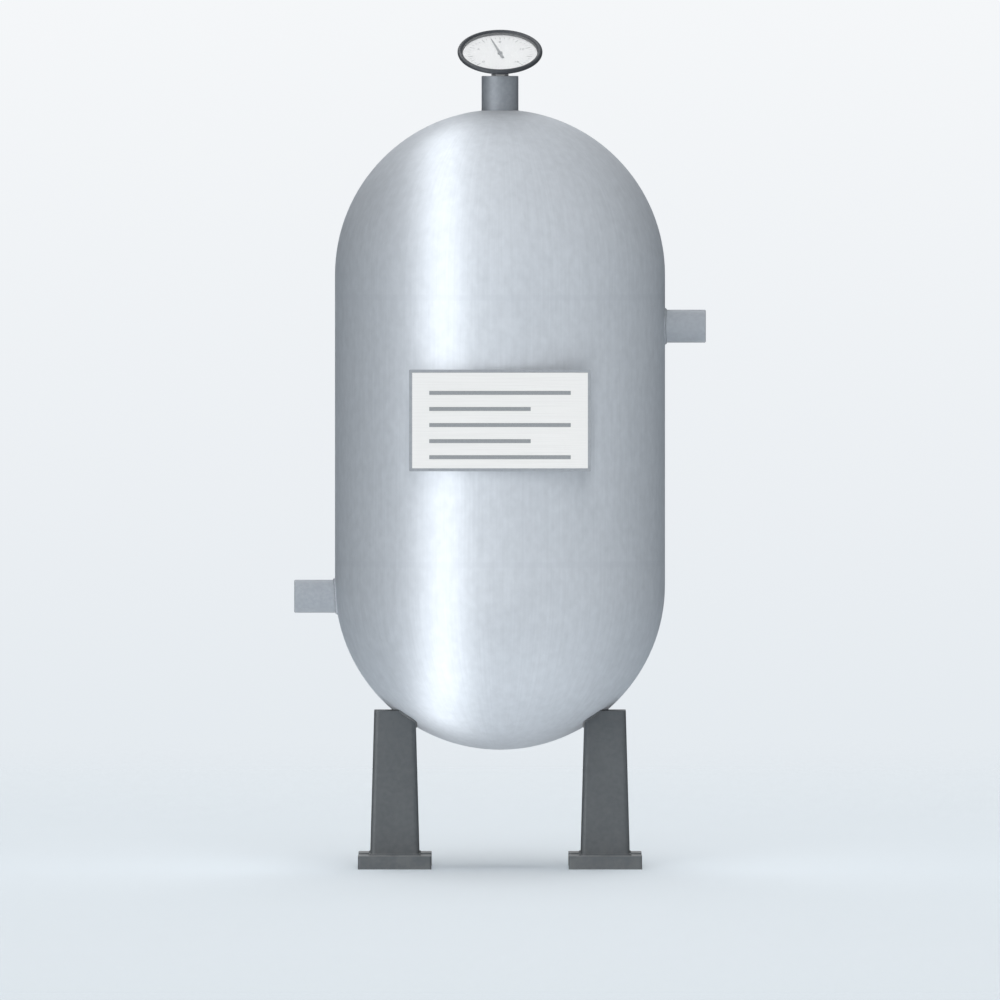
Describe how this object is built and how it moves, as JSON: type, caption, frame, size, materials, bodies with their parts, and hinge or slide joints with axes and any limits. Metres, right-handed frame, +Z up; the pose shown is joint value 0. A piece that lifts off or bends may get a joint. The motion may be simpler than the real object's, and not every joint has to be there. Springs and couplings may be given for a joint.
{
  "type": "vertical air receiver tank",
  "caption": "Vertical capsule-shaped steel air receiver on box legs with base plates, with side sockets low and high, a data plate on the front and a tilted pressure gauge on the top neck.",
  "frame": {"origin": "floor level, at the centre of the four anchor bolts and on the vessel's axis", "axes": "+Z up along the vessel's axis, -Y towards the front with the data plate, +X towards the outlet socket"},
  "size_m": [0.748, 0.6165, 1.5219],
  "materials": {
    "vessel_steel": "satin, brushed along the tank",
    "fitting_steel": "satin mid grey",
    "leg_paint": "satin dark grey paint",
    "plate_frame": "satin grey paint",
    "plate_face": "pale anodised",
    "gauge_metal": "satin dark grey",
    "gauge_brass": "dull nickel-washed brass",
    "dial_face": "matt pale",
    "pointer_paint": "matt dark",
    "gauge_glass": "clear"
  },
  "bodies": {
    "root": {"shell": "vessel_steel", "top_head": "vessel_steel", "bottom_head": "vessel_steel", "top_neck": "fitting_steel", "neck_bush": "fitting_steel", "inlet_socket": "fitting_steel", "outlet_socket": "fitting_steel", "gauge_stem": "gauge_brass", "gauge_case": "gauge_metal", "gauge_bezel": "gauge_metal", "gauge_dial": "dial_face", "gauge_pointer": "pointer_paint", "gauge_glass": "gauge_glass", "plate_backing": "plate_frame", "data_plate": "plate_face", "plate_bracket_left": "plate_frame", "plate_bracket_right": "plate_frame", "leg_front_left": "leg_paint", "base_plate_front_left": "leg_paint", "leg_front_right": "leg_paint", "base_plate_front_right": "leg_paint", "leg_back_left": "leg_paint", "base_plate_back_left": "leg_paint", "leg_back_right": "leg_paint", "base_plate_back_right": "leg_paint"}
  },
  "joints": []
}
